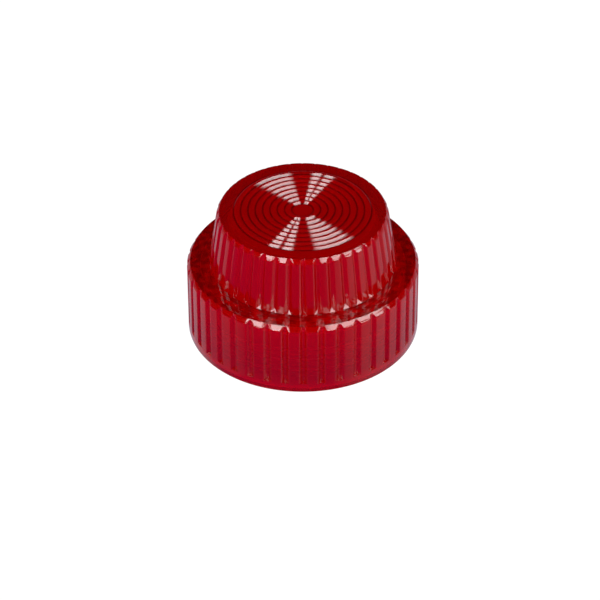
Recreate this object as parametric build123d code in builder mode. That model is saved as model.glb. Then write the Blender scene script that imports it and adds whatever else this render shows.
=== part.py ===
"""Compact wall horn strobe: a stepped, ribbed red lens that screws down over a flush base.

Millimetres. +Z is the lens axis and points away from the wall, the wall plane is z = 0, and
the front, where a skirt groove is centred, is -Y. Bottom to top inside the lens: the base cup,
the main board with the wire terminals and the tone selector under it, the sounder housing with
its piezo disc, the LED board, the reflector and the clear optic.
"""
from build123d import *
import os
from math import cos, radians, sin, sqrt, tan

os.makedirs("parts", exist_ok=True)

# ---------------------------------------------------------------- driving dimensions
# Lens, outside.
lens_radius = 18.0           # at the rim
skirt_draft = 0.03           # how much narrower the skirt is at its top
skirt_height = 12.14         # rim to shoulder
skirt_chamfer_in = 0.52
skirt_chamfer_down = 0.76
shoulder_width = 3.48        # from the rim radius in to the foot of the cone
cone_height = 9.12           # shoulder to top face
cone_draft = 1.29            # how much narrower the cone is below its chamfer
cone_chamfer_in = 0.42
cone_chamfer_down = 0.74
rim_round = 0.22
rim_band = 1.55              # plain band under the skirt grooves
rim_gap = 0.2                # rim to wall, which is also the slot that the sound leaves by

# Lens, ribs and rings.
rib_count = 40
skirt_groove_width = 1.24
skirt_groove_floor = 0.32
skirt_groove_depth = 0.5
cone_groove_width = 1.1
cone_groove_floor = 0.18
cone_groove_depth = 0.42
ring_count = 8
ring_pitch = 1.12
ring_rise = 0.23
ring_start = 1.64            # radius of the flat disc inside the rings

# Lens, inside.
skirt_wall = 2.1
cone_wall = 2.1
shoulder_wall = 2.04
top_wall = 1.9
seal_rib_height = 0.8
seal_rib_width = 0.5

# Screw thread between the lens and the base. The solids stop at its root and crest.
thread_space = 0.8           # radial room that the two threads share
lens_lift = 5.0              # travel to the end of the thread

# Base.
base_wall = 1.8              # collar above the board ledge
ledge_width = 1.2
floor_thickness = 1.6
seal_height = 1.7
seal_inset = 0.15            # seal edge to collar edge
seal_width = 1.3
running_gap = 0.2            # between a moving piece and its neighbour
fit_gap = 0.1                # round a piece that is set in place
edge_break = 0.3

# Wall gasket.
gasket_width = 1.0
gasket_height = 0.7
gasket_inset = 0.65          # groove to the base's outer edge

# Threaded inserts for the two M3 panel screws.
insert_spacing = 22.0
insert_radius = 2.1
insert_bore = 1.25
insert_length = 4.0
insert_boss_wall = 1.0

# Cable entry and sound ports.
cable_entry_radius = 2.2
cable_entry_offset = 2.7
port_count = 8
port_width = 3.0
port_height = 1.2
port_lift = 0.4              # port sill above the floor

# Boards.
board_thickness = 1.2
main_board_height = 5.6      # underside above the wall
board_gap = 0.4              # board edge to wall
pin_radius = 0.3
pin_hole = 0.45

# Housing screws, M1.6.
screw_radius = 0.8
screw_pilot = 0.7
screw_hole = 0.95
screw_head_radius = 1.4
screw_head_height = 0.9
screw_bite = 3.2
screw_boss_wall = 1.0

# Sounder.
flange_height = 1.4
web_thickness = 0.7
port_radius = 2.5
tower_wall = 1.9
reflector_gap = 0.35         # reflector to the inside of the cone
tower_inset = 0.1            # tower inside the reflector's edge
shelf_height = 0.7
shelf_width = 2.4
disc_gap = 1.6               # piezo plate edge to the tower wall, where the link pins pass
plate_thickness = 0.25
ceramic_radius = 5.5
ceramic_thickness = 0.2
ring_height = 0.95
ring_width = 1.0
tower_rim = 0.6              # tower wall above the LED board
contact_radius = 0.45

# LEDs, optic and reflector.
led_side = 3.0
led_height = 0.7
led_spacing = 4.2
led_dome_radius = 0.9
optic_radius = 6.3
optic_wall = 0.9
optic_foot = 0.8
optic_rise = 2.5
reflector_wall = 0.7
reflector_height = 2.6
reflector_lean = 0.3
peg_radius = 0.4
peg_length = 0.8

# Wire terminals, with rising cages on M2 screws.
terminal_pitch = 5.0
terminal_width = 10.0
terminal_depth = 4.9
terminal_offset = 8.35       # block centre in front of the lens axis
terminal_recess = 0.35       # block face above the wall plane
clamp_screw_radius = 0.95
clamp_head_radius = 1.45
clamp_head_height = 0.8
clamp_head_recess = 0.3
clamp_web = 0.3
cage_width = 3.4
cage_depth = 3.0
cage_height = 2.5
cage_travel = 0.85
cage_floor = 0.6
cage_roof = 0.55
cage_side = 0.5
bar_thickness = 0.3
bar_width = 2.1
wire_mouth_width = 2.6
wire_mouth_height = 1.05

# Tone selector.
selector_length = 7.0
selector_width = 3.2
selector_height = 3.0
selector_offset = 7.5        # behind the lens axis
selector_wall = 0.3
selector_travel = 2.0
slider_length = 4.0
slider_width = 2.2
slider_height = 1.0
knob_length = 1.6
knob_width = 1.3
knob_recess = 0.5            # knob tip above the wall plane

# ---------------------------------------------------------------- heights and radii that follow
rim_z = rim_gap
shoulder_z = rim_z + skirt_height
top_z = shoulder_z + cone_height
skirt_top_radius = lens_radius - skirt_draft
cone_foot_radius = lens_radius - shoulder_width
cone_head_radius = cone_foot_radius - cone_draft
lens_bore_radius = lens_radius - skirt_wall
shoulder_under_z = shoulder_z - shoulder_wall
chamber_top_z = top_z - top_wall
chamber_foot_radius = cone_foot_radius - cone_wall
chamber_head_radius = cone_head_radius - cone_wall

collar_radius = lens_bore_radius - thread_space
collar_top_z = shoulder_under_z - seal_height
cup_radius = collar_radius - base_wall
ledge_radius = cup_radius - ledge_width
seal_outer = collar_radius - seal_inset
seal_inner = seal_outer - seal_width
seal_rib_outer = seal_inner - running_gap

main_board_radius = cup_radius - board_gap
main_board_top = main_board_height + board_thickness
screw_circle = ledge_radius - 0.5 * screw_head_radius + running_gap
screw_boss_radius = screw_pilot + screw_boss_wall
insert_boss_radius = insert_radius + insert_boss_wall

flange_z = main_board_top + flange_height
web_top = flange_z + web_thickness
plate_z = web_top + shelf_height
ring_z = plate_z + plate_thickness
led_board_z = ring_z + ring_height
led_board_top = led_board_z + board_thickness
tower_top = led_board_top + tower_rim
chamber_slope = (chamber_foot_radius - chamber_head_radius) / (chamber_top_z - shoulder_under_z)
reflector_top = tower_top + reflector_height
chamber_at_reflector = chamber_foot_radius - chamber_slope * (reflector_top - shoulder_under_z)
reflector_radius = chamber_at_reflector - reflector_gap
tower_radius = reflector_radius - tower_inset
tower_bore = tower_radius - tower_wall
led_board_radius = tower_bore - 0.5 * board_gap
plate_radius = tower_bore - disc_gap
shelf_bore = tower_bore - shelf_width
link_radius = 0.5 * (plate_radius + tower_bore)
link_angles = (20, 160, 200, 340)
contact_offset = 0.5 * (plate_radius + shelf_bore)
flange_radius = cup_radius - fit_gap
flange_bore = tower_bore + 1.0

block_top = main_board_height
block_y = -terminal_offset
head_z = terminal_recess + clamp_head_recess
shank_z = head_z + clamp_head_height
clamp_web_top = shank_z + clamp_web
cage_gap = 0.15
cage_z = clamp_web_top + 0.5 * cage_gap
bar_z = cage_z + cage_floor + cage_travel + 0.5 * cage_gap
cage_window = cage_height - cage_floor - cage_roof
bar_end_y = block_y - 0.5 * cage_depth - 0.55
terminal_sides = {"left": -0.5 * terminal_pitch, "right": 0.5 * terminal_pitch}

selector_z = main_board_height - selector_height
slider_z = selector_z + selector_wall + fit_gap
slider_rest = -0.5 * selector_travel


def finish(piece, name):
    """Label a finished piece and write it to its own file."""
    piece.part.label = name
    export_step(piece.part, "parts/" + name + ".step")


def ring_profile(inner, outer, low, high):
    """A rectangle in the radius and height plane, as the section of a plain ring."""
    with Locations((inner, low)):
        Rectangle(outer - inner, high - low, align=(Align.MIN, Align.MIN))


# ---------------------------------------------------------------- lens_cap
# One moulding of clear red polycarbonate: ribbed skirt, flat shoulder, ribbed cone and a ringed top.
with BuildPart() as skirt_groove_tool:
    with BuildSketch(Plane.XY.offset(rim_z + rim_band)):
        with BuildLine():
            Polyline(
                (-0.5 * skirt_groove_floor, -lens_radius + skirt_groove_depth),
                (0.5 * skirt_groove_floor, -lens_radius + skirt_groove_depth),
                (skirt_groove_width - 0.5 * skirt_groove_floor, -lens_radius - skirt_groove_depth),
                (0.5 * skirt_groove_floor - skirt_groove_width, -lens_radius - skirt_groove_depth),
                close=True,
            )
        make_face()
    extrude(amount=skirt_height)

cone_lean = cone_draft / (cone_height - cone_chamfer_down)
tool_reach = 1.0             # how far the groove tool runs past the cone at both ends
with BuildPart() as cone_groove_tool:
    for height in (-tool_reach, cone_height + tool_reach):
        surface = cone_foot_radius - cone_lean * height
        with BuildSketch(Plane.XY.offset(shoulder_z + height)):
            with BuildLine():
                Polyline(
                    (-0.5 * cone_groove_floor, -surface + cone_groove_depth),
                    (0.5 * cone_groove_floor, -surface + cone_groove_depth),
                    (cone_groove_width - 0.5 * cone_groove_floor, -surface - cone_groove_depth),
                    (0.5 * cone_groove_floor - cone_groove_width, -surface - cone_groove_depth),
                    close=True,
                )
            make_face()
    loft()
    # Each groove runs out at the shoulder in a 45 degree facet.
    split(bisect_by=Plane(origin=(0, -cone_foot_radius, shoulder_z), z_dir=(0, -1, 1)), keep=Keep.TOP)

with BuildPart() as lens_cap:
    with BuildSketch(Plane.XZ):
        with BuildLine():
            Polyline(
                (0, chamber_top_z),
                (chamber_head_radius, chamber_top_z),
                (chamber_foot_radius, shoulder_under_z),
                (seal_rib_outer - seal_rib_width, shoulder_under_z),
                (seal_rib_outer - seal_rib_width, shoulder_under_z - seal_rib_height),
                (seal_rib_outer, shoulder_under_z - seal_rib_height),
                (seal_rib_outer, shoulder_under_z),
                (lens_bore_radius, shoulder_under_z),
                (lens_bore_radius, rim_z),
                (lens_radius, rim_z),
                (skirt_top_radius, shoulder_z - skirt_chamfer_down),
                (skirt_top_radius - skirt_chamfer_in, shoulder_z),
                (cone_foot_radius, shoulder_z),
                (cone_head_radius, top_z - cone_chamfer_down),
                (cone_head_radius - cone_chamfer_in, top_z),
                (ring_start + ring_count * ring_pitch, top_z),
            )
            for ring in reversed(range(ring_count)):
                ring_inner = ring_start + ring * ring_pitch
                ThreePointArc(
                    (ring_inner + ring_pitch, top_z),
                    (ring_inner + 0.5 * ring_pitch, top_z + ring_rise),
                    (ring_inner, top_z),
                )
            Polyline((ring_start, top_z), (0, top_z), (0, chamber_top_z))
        make_face()
    revolve(axis=Axis.Z)
    rim_edges = lens_cap.edges().filter_by(GeomType.CIRCLE).group_by(Axis.Z)[0]
    fillet(rim_edges.sort_by(SortBy.RADIUS)[-1], radius=rim_round)
    with PolarLocations(0, rib_count):
        add(skirt_groove_tool.part, mode=Mode.SUBTRACT)
    with PolarLocations(0, rib_count):
        add(cone_groove_tool.part, mode=Mode.SUBTRACT)
finish(lens_cap, "lens_cap")

# ---------------------------------------------------------------- lens_seal
# Square-section silicone ring, held under the lens shoulder by its rib and pressed on the collar.
with BuildPart() as lens_seal:
    with BuildSketch(Plane.XZ):
        ring_profile(seal_inner, seal_outer, collar_top_z, shoulder_under_z)
    revolve(axis=Axis.Z)
    fillet(lens_seal.faces().filter_by(GeomType.CYLINDER).edges(), radius=edge_break)
finish(lens_seal, "lens_seal")

# ---------------------------------------------------------------- base_body
# Moulded cup: the collar carries the thread, the floor lies on the wall.
with BuildPart() as base_body:
    with BuildSketch(Plane.XZ):
        with BuildLine():
            Polyline(
                (0, 0),
                (collar_radius, 0),
                (collar_radius, collar_top_z),
                (cup_radius, collar_top_z),
                (cup_radius, main_board_height),
                (ledge_radius, main_board_height),
                (ledge_radius, floor_thickness),
                (0, floor_thickness),
                close=True,
            )
        make_face()
    revolve(axis=Axis.Z)
    with BuildSketch(Plane.XY.offset(floor_thickness)):
        with PolarLocations(screw_circle, 4, start_angle=45):
            Circle(screw_boss_radius)
    extrude(amount=main_board_height - floor_thickness)
    with BuildSketch(Plane.XY.offset(floor_thickness)):
        with Locations((-0.5 * insert_spacing, 0), (0.5 * insert_spacing, 0)):
            Circle(insert_boss_radius)
    extrude(amount=insert_length + insert_boss_wall - floor_thickness)
    # Pilot holes for the housing screws.
    with BuildSketch(Plane.XY.offset(main_board_height)):
        with PolarLocations(screw_circle, 4, start_angle=45):
            Circle(screw_pilot)
    extrude(amount=-screw_bite - edge_break, mode=Mode.SUBTRACT)
    # Pockets for the threaded inserts.
    with BuildSketch(Plane.XY):
        with Locations((-0.5 * insert_spacing, 0), (0.5 * insert_spacing, 0)):
            Circle(insert_radius + 0.2 * fit_gap)
    extrude(amount=insert_length, mode=Mode.SUBTRACT)
    # Cable entry, terminal window and selector window.
    with BuildSketch(Plane.XY):
        with Locations((0, -cable_entry_offset)):
            Circle(cable_entry_radius)
        with Locations((0, block_y)):
            Rectangle(terminal_width + 2 * fit_gap, terminal_depth + 2 * fit_gap)
        with Locations((0, selector_offset)):
            Rectangle(knob_length + selector_travel + 2 * edge_break, knob_width + 2 * edge_break)
    extrude(amount=floor_thickness, mode=Mode.SUBTRACT)
    # Groove for the wall gasket.
    with BuildSketch(Plane.XY):
        Circle(collar_radius - gasket_inset)
        Circle(collar_radius - gasket_inset - gasket_width, mode=Mode.SUBTRACT)
    extrude(amount=gasket_height, mode=Mode.SUBTRACT)
    # Sound ports through the foot of the collar, between the bosses.
    port_z = floor_thickness + port_lift + 0.5 * port_height
    for port in range(port_count):
        port_angle = (port + 0.5) * 360 / port_count
        port_plane = Plane.XZ.rotated((0, 0, port_angle)).offset(-collar_radius - edge_break)
        with BuildSketch(port_plane):
            with Locations((0, port_z)):
                SlotOverall(port_width, port_height)
        extrude(amount=collar_radius - ledge_radius + 2 * edge_break, mode=Mode.SUBTRACT)
    collar_edges = base_body.edges().filter_by(GeomType.CIRCLE).group_by(Axis.Z)[-1]
    chamfer(collar_edges.sort_by(SortBy.RADIUS)[-1], length=0.5 * seal_inset)
finish(base_body, "base_body")

# ---------------------------------------------------------------- wall_gasket
# Flat foam ring in the groove of the base, flush with it when it is pressed on the wall.
with BuildPart() as wall_gasket:
    with BuildSketch(Plane.XZ):
        ring_profile(
            collar_radius - gasket_inset - gasket_width + 0.5 * fit_gap,
            collar_radius - gasket_inset - 0.5 * fit_gap,
            0,
            gasket_height,
        )
    revolve(axis=Axis.Z)
finish(wall_gasket, "wall_gasket")

# ---------------------------------------------------------------- mounting_inserts
# Two brass inserts with M3 bores, moulded in from the wall side.
with BuildPart() as mounting_inserts:
    with BuildSketch(Plane.XY):
        with Locations((-0.5 * insert_spacing, 0), (0.5 * insert_spacing, 0)):
            Circle(insert_radius)
            Circle(insert_bore, mode=Mode.SUBTRACT)
    extrude(amount=insert_length)
finish(mounting_inserts, "mounting_inserts")

# ---------------------------------------------------------------- main_board
# Round driver board on the ledge of the cup.
with BuildPart() as main_board:
    with BuildSketch(Plane.XY.offset(main_board_height)):
        Circle(main_board_radius)
        with PolarLocations(screw_circle, 4, start_angle=45):
            Circle(screw_hole, mode=Mode.SUBTRACT)
        for angle in link_angles:
            with Locations((link_radius * cos(radians(angle)), link_radius * sin(radians(angle)))):
                Circle(pin_hole, mode=Mode.SUBTRACT)
        for side_x in terminal_sides.values():
            with Locations((side_x, bar_end_y + 0.2)):
                Circle(2 * pin_hole, mode=Mode.SUBTRACT)
    extrude(amount=board_thickness)
finish(main_board, "main_board")

# ---------------------------------------------------------------- housing_screws
# Four M1.6 pan-head screws through the sounder flange and the main board into the base.
with BuildPart() as housing_screws:
    with BuildSketch(Plane.XY.offset(flange_z)):
        with PolarLocations(screw_circle, 4, start_angle=45):
            Circle(screw_head_radius)
    extrude(amount=screw_head_height)
    fillet(housing_screws.edges().group_by(Axis.Z)[-1], radius=0.5 * edge_break)
    with BuildSketch(Plane.XY.offset(flange_z + screw_head_height)):
        with PolarLocations(screw_circle, 4, start_angle=45):
            Rectangle(1.5 * screw_radius, 0.4 * screw_radius)
            Rectangle(0.4 * screw_radius, 1.5 * screw_radius)
    extrude(amount=-0.5 * screw_head_height, mode=Mode.SUBTRACT)
    with BuildSketch(Plane.XY.offset(flange_z)):
        with PolarLocations(screw_circle, 4, start_angle=45):
            Circle(screw_pilot - 0.2 * fit_gap)
    extrude(amount=main_board_height - screw_bite - flange_z)
finish(housing_screws, "housing_screws")

# ---------------------------------------------------------------- sounder_housing
# White moulding that clamps the main board and holds the piezo disc and the LED board.
with BuildPart() as sounder_housing:
    with BuildSketch(Plane.XZ):
        with BuildLine():
            Polyline(
                (flange_radius, main_board_top),
                (flange_radius, flange_z),
                (tower_radius, flange_z),
                (tower_radius, tower_top),
                (tower_bore, tower_top),
                (tower_bore, plate_z),
                (shelf_bore, plate_z),
                (shelf_bore, web_top),
                (port_radius, web_top),
                (port_radius, flange_z),
                (flange_bore, flange_z),
                (flange_bore, main_board_top),
                close=True,
            )
        make_face()
    revolve(axis=Axis.Z)
    with BuildSketch(Plane.XY.offset(flange_z)):
        with PolarLocations(screw_circle, 4, start_angle=45):
            Circle(screw_head_radius + running_gap)
    extrude(amount=tower_top - flange_z, mode=Mode.SUBTRACT)
    with BuildSketch(Plane.XY.offset(main_board_top)):
        with PolarLocations(screw_circle, 4, start_angle=45):
            Circle(screw_hole)
    extrude(amount=flange_height, mode=Mode.SUBTRACT)
    with BuildSketch(Plane.XY.offset(main_board_top)):
        for angle in link_angles:
            with Locations((link_radius * cos(radians(angle)), link_radius * sin(radians(angle)))):
                Circle(pin_hole)
        with Locations((0, contact_offset)):
            Circle(contact_radius + fit_gap)
    extrude(amount=plate_z - main_board_top, mode=Mode.SUBTRACT)
    with BuildSketch(Plane.XY.offset(tower_top)):
        with PolarLocations(tower_bore + 0.5 * tower_wall, 2):
            Circle(peg_radius + 0.5 * fit_gap)
    extrude(amount=-peg_length - fit_gap, mode=Mode.SUBTRACT)
finish(sounder_housing, "sounder_housing")

# ---------------------------------------------------------------- piezo sounder
# Brass plate with a thinner ceramic disc under it, held on the shelf by a ring.
with BuildPart() as sounder_plate:
    with BuildSketch(Plane.XY.offset(plate_z)):
        Circle(plate_radius)
    extrude(amount=plate_thickness)
finish(sounder_plate, "sounder_plate")

with BuildPart() as sounder_ceramic:
    with BuildSketch(Plane.XY.offset(plate_z)):
        Circle(min(ceramic_radius, shelf_bore - 2 * fit_gap))
    extrude(amount=-ceramic_thickness)
finish(sounder_ceramic, "sounder_ceramic")

with BuildPart() as sounder_ring:
    with BuildSketch(Plane.XZ):
        ring_profile(plate_radius - ring_width, plate_radius + fit_gap, ring_z, led_board_z)
    revolve(axis=Axis.Z)
finish(sounder_ring, "sounder_ring")

# Two contact pins from the main board: one meets the ceramic, one the brass plate.
with BuildPart() as sounder_contacts:
    with BuildSketch(Plane.XY.offset(main_board_top)):
        Circle(contact_radius)
    extrude(amount=plate_z - ceramic_thickness - main_board_top)
    with BuildSketch(Plane.XY.offset(main_board_top)):
        with Locations((0, contact_offset)):
            Circle(contact_radius)
    extrude(amount=plate_z - main_board_top)
finish(sounder_contacts, "sounder_contacts")

# ---------------------------------------------------------------- link_pins
# Four header pins that carry power from the main board up to the LED board.
with BuildPart() as link_pins:
    with BuildSketch(Plane.XY.offset(main_board_height - 0.5 * fit_gap)):
        for angle in link_angles:
            with Locations((link_radius * cos(radians(angle)), link_radius * sin(radians(angle)))):
                Circle(pin_radius)
    extrude(amount=led_board_top + pin_radius - main_board_height)
finish(link_pins, "link_pins")

# ---------------------------------------------------------------- led_board
# Round aluminium-core board with the strobe LEDs.
with BuildPart() as led_board:
    with BuildSketch(Plane.XY.offset(led_board_z)):
        Circle(led_board_radius)
        for angle in link_angles:
            with Locations((link_radius * cos(radians(angle)), link_radius * sin(radians(angle)))):
                Circle(pin_hole, mode=Mode.SUBTRACT)
    extrude(amount=board_thickness)
finish(led_board, "led_board")

# Four surface-mount strobe LEDs, and the clear silicone dome on each.
with BuildPart() as strobe_leds:
    with BuildSketch(Plane.XY.offset(led_board_top)):
        with GridLocations(led_spacing, led_spacing, 2, 2):
            RectangleRounded(led_side, led_side, 0.5 * edge_break)
    extrude(amount=led_height)
finish(strobe_leds, "strobe_leds")

with BuildPart() as led_domes:
    with Locations(Plane.XY.offset(led_board_top + led_height)):
        with GridLocations(led_spacing, led_spacing, 2, 2):
            Sphere(led_dome_radius, arc_size1=0, align=(Align.CENTER, Align.CENTER, Align.MIN))
finish(led_domes, "led_domes")

# ---------------------------------------------------------------- strobe_optic
# Clear acrylic dome over the LEDs, a shallow shell on a round foot.
optic_foot_z = led_board_top + optic_foot
optic_top = optic_foot_z + optic_rise


def dome_arc(radius, rise):
    """A third point on the round arc from (radius, foot) up to (0, foot + rise)."""
    sphere = (radius * radius + rise * rise) / (2 * rise)
    return (0.5 * radius, optic_foot_z + rise - sphere + sqrt(sphere * sphere - 0.25 * radius * radius))


with BuildPart() as strobe_optic:
    optic_bore = optic_radius - optic_wall
    inner_rise = optic_rise - optic_wall
    with BuildSketch(Plane.XZ):
        with BuildLine():
            Polyline(
                (optic_bore, optic_foot_z),
                (optic_bore, led_board_top),
                (optic_radius, led_board_top),
                (optic_radius, optic_foot_z),
            )
            ThreePointArc((optic_radius, optic_foot_z), dome_arc(optic_radius, optic_rise), (0, optic_top))
            Line((0, optic_top), (0, optic_foot_z + inner_rise))
            ThreePointArc(
                (0, optic_foot_z + inner_rise),
                dome_arc(optic_bore, inner_rise),
                (optic_bore, optic_foot_z),
            )
        make_face()
    revolve(axis=Axis.Z)
finish(strobe_optic, "strobe_optic")

# ---------------------------------------------------------------- reflector
# White dish round the optic, seated on the tower by two pegs.
reflector_bore = optic_radius + 3 * fit_gap
with BuildPart() as reflector:
    with BuildSketch(Plane.XZ):
        with BuildLine():
            Polyline(
                (reflector_bore, tower_top),
                (reflector_radius, tower_top),
                (reflector_radius, reflector_top),
                (reflector_radius - reflector_wall, reflector_top),
                (reflector_radius - reflector_wall - reflector_lean, tower_top + 2 * reflector_wall),
                (reflector_radius - 2 * reflector_wall - reflector_lean, tower_top + reflector_wall),
                (reflector_bore, tower_top + reflector_wall),
                close=True,
            )
        make_face()
    revolve(axis=Axis.Z)
    with BuildSketch(Plane.XY.offset(tower_top)):
        with PolarLocations(tower_bore + 0.5 * tower_wall, 2):
            Circle(peg_radius)
    extrude(amount=-peg_length)
finish(reflector, "reflector")

# ---------------------------------------------------------------- parts on the main board
# Eight-pin driver chip on the upper side.
with BuildPart() as driver_chip:
    with Locations((-4.2, 0, main_board_top + 0.05)):
        Box(3.9, 4.9, 1.2, align=(Align.CENTER, Align.CENTER, Align.MIN))
    with BuildSketch(Plane.XY.offset(main_board_top)):
        with Locations((-4.2, 0)):
            with GridLocations(4.9, 1.27, 2, 4):
                Rectangle(1.2, 0.4)
    extrude(amount=0.4)
finish(driver_chip, "driver_chip")

# Boost inductor, storage capacitor, blocking diode and chip resistors, all on the lower side.
with BuildPart() as boost_inductor:
    with BuildSketch(Plane.XY.offset(main_board_height)):
        with Locations((-5.9, 4.6)):
            RectangleRounded(3.8, 3.8, 0.6)
    extrude(amount=-3.0)
    chamfer(boost_inductor.edges().group_by(Axis.Z)[0], length=edge_break)
finish(boost_inductor, "boost_inductor")

with BuildPart() as storage_capacitor:
    with BuildSketch(Plane.XY.offset(main_board_height)):
        with Locations((5.9, 4.4)):
            Circle(2.0)
    extrude(amount=-3.6)
    fillet(storage_capacitor.edges().group_by(Axis.Z)[0], radius=edge_break)
finish(storage_capacitor, "storage_capacitor")

with BuildPart() as blocking_diode:
    with Locations((-5.6, -2.6, main_board_height)):
        Box(3.4, 1.8, 1.4, align=(Align.CENTER, Align.CENTER, Align.MAX))
    chamfer(blocking_diode.edges().group_by(Axis.Z)[0], length=0.5 * edge_break)
finish(blocking_diode, "blocking_diode")

with BuildPart() as chip_resistors:
    with BuildSketch(Plane.XY.offset(main_board_height)):
        with Locations((5.6, -2.6)):
            with GridLocations(2.4, 1.3, 2, 3):
                Rectangle(1.6, 0.8)
    extrude(amount=-0.5)
finish(chip_resistors, "chip_resistors")

# ---------------------------------------------------------------- terminal_housing
# Two-way block under the main board. Its screws face the wall side, its wire mouths the cable entry.
cavity_width = cage_width + 2 * cage_gap
cavity_depth = cage_depth + 2 * cage_gap
cavity_height = cage_height + cage_travel + cage_gap
mouth_z = bar_z + bar_thickness
with BuildPart() as terminal_housing:
    with BuildSketch(Plane.XY.offset(terminal_recess)):
        with Locations((0, block_y)):
            Rectangle(terminal_width, terminal_depth)
    extrude(amount=block_top - terminal_recess)
    for side_x in terminal_sides.values():
        with BuildSketch(Plane.XY.offset(terminal_recess)):
            with Locations((side_x, block_y)):
                Circle(clamp_head_radius + cage_gap)
        extrude(amount=shank_z - terminal_recess, mode=Mode.SUBTRACT)
        with BuildSketch(Plane.XY.offset(shank_z)):
            with Locations((side_x, block_y)):
                Circle(clamp_screw_radius + cage_gap)
        extrude(amount=clamp_web, mode=Mode.SUBTRACT)
        with BuildSketch(Plane.XY.offset(clamp_web_top)):
            with Locations((side_x, block_y)):
                Rectangle(cavity_width, cavity_depth)
        extrude(amount=cavity_height, mode=Mode.SUBTRACT)
        with BuildSketch(Plane.XY.offset(bar_z - 0.5 * fit_gap)):
            with Locations((side_x, bar_end_y + 0.25)):
                Rectangle(bar_width + fit_gap, 0.6)
        extrude(amount=block_top - bar_z + fit_gap, mode=Mode.SUBTRACT)
        with BuildSketch(Plane.XY.offset(mouth_z)):
            with Locations((side_x, block_y + 0.5 * terminal_depth)):
                Rectangle(wire_mouth_width, terminal_depth - cage_depth)
        extrude(amount=wire_mouth_height, mode=Mode.SUBTRACT)
finish(terminal_housing, "terminal_housing")

# Two tinned contact bars, each with its solder pin.
with BuildPart() as terminal_bars:
    for side_x in terminal_sides.values():
        with BuildSketch(Plane.XY.offset(bar_z)):
            with Locations((side_x, bar_end_y)):
                Rectangle(bar_width, cage_depth + 0.4, align=(Align.CENTER, Align.MIN))
        extrude(amount=bar_thickness)
        with BuildSketch(Plane.XY.offset(bar_z)):
            with Locations((side_x, bar_end_y)):
                Rectangle(0.8, 0.4, align=(Align.CENTER, Align.MIN))
        extrude(amount=main_board_top - fit_gap - bar_z)
finish(terminal_bars, "terminal_bars")

for side, side_x in terminal_sides.items():
    # Slotted M2 clamp screw, with its head towards the wall side.
    with BuildPart() as clamp_screw:
        with BuildSketch(Plane.XY.offset(head_z)):
            with Locations((side_x, block_y)):
                Circle(clamp_head_radius)
        extrude(amount=clamp_head_height)
        chamfer(clamp_screw.edges().group_by(Axis.Z)[0], length=0.1)
        with BuildSketch(Plane.XY.offset(head_z)):
            with Locations((side_x, block_y)):
                Rectangle(2 * clamp_head_radius, 0.4)
        extrude(amount=0.5 * clamp_head_height, mode=Mode.SUBTRACT)
        with BuildSketch(Plane.XY.offset(shank_z)):
            with Locations((side_x, block_y)):
                Circle(clamp_screw_radius)
        extrude(amount=bar_z - 0.05 - shank_z)
    finish(clamp_screw, "clamp_screw_" + side)

    # Rising cage: a short square tube that the clamp screw draws towards its head.
    with BuildPart() as clamp_cage:
        with BuildSketch(Plane.XY.offset(cage_z)):
            with Locations((side_x, block_y)):
                Rectangle(cage_width, cage_depth)
        extrude(amount=cage_height)
        with BuildSketch(Plane.XY.offset(cage_z + cage_floor)):
            with Locations((side_x, block_y)):
                Rectangle(cage_width - 2 * cage_side, cage_depth + fit_gap)
        extrude(amount=cage_window, mode=Mode.SUBTRACT)
        with BuildSketch(Plane.XY.offset(cage_z)):
            with Locations((side_x, block_y)):
                Circle(clamp_screw_radius + 0.05)
        extrude(amount=cage_floor, mode=Mode.SUBTRACT)
    finish(clamp_cage, "clamp_cage_" + side)

# ---------------------------------------------------------------- tone selector
# Two-position slide switch under the main board, worked through the window in the base.
with BuildPart() as selector_body:
    with BuildSketch(Plane.XY.offset(selector_z)):
        with Locations((0, selector_offset)):
            Rectangle(selector_length, selector_width)
    extrude(amount=selector_height)
    with BuildSketch(Plane.XY.offset(selector_z + selector_wall)):
        with Locations((0, selector_offset)):
            Rectangle(slider_length + selector_travel + 2 * fit_gap, slider_width + 2 * fit_gap)
    extrude(amount=slider_height + 2 * fit_gap, mode=Mode.SUBTRACT)
    with BuildSketch(Plane.XY.offset(selector_z)):
        with Locations((0, selector_offset)):
            Rectangle(knob_length + selector_travel + 2 * fit_gap, knob_width + 2 * fit_gap)
    extrude(amount=selector_wall, mode=Mode.SUBTRACT)
finish(selector_body, "selector_body")

with BuildPart() as selector_slider:
    with BuildSketch(Plane.XY.offset(slider_z)):
        with Locations((slider_rest, selector_offset)):
            Rectangle(slider_length, slider_width)
    extrude(amount=slider_height)
    with BuildSketch(Plane.XY.offset(knob_recess)):
        with Locations((slider_rest, selector_offset)):
            Rectangle(knob_length, knob_width)
    extrude(amount=slider_z - knob_recess)
finish(selector_slider, "selector_slider")
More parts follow.
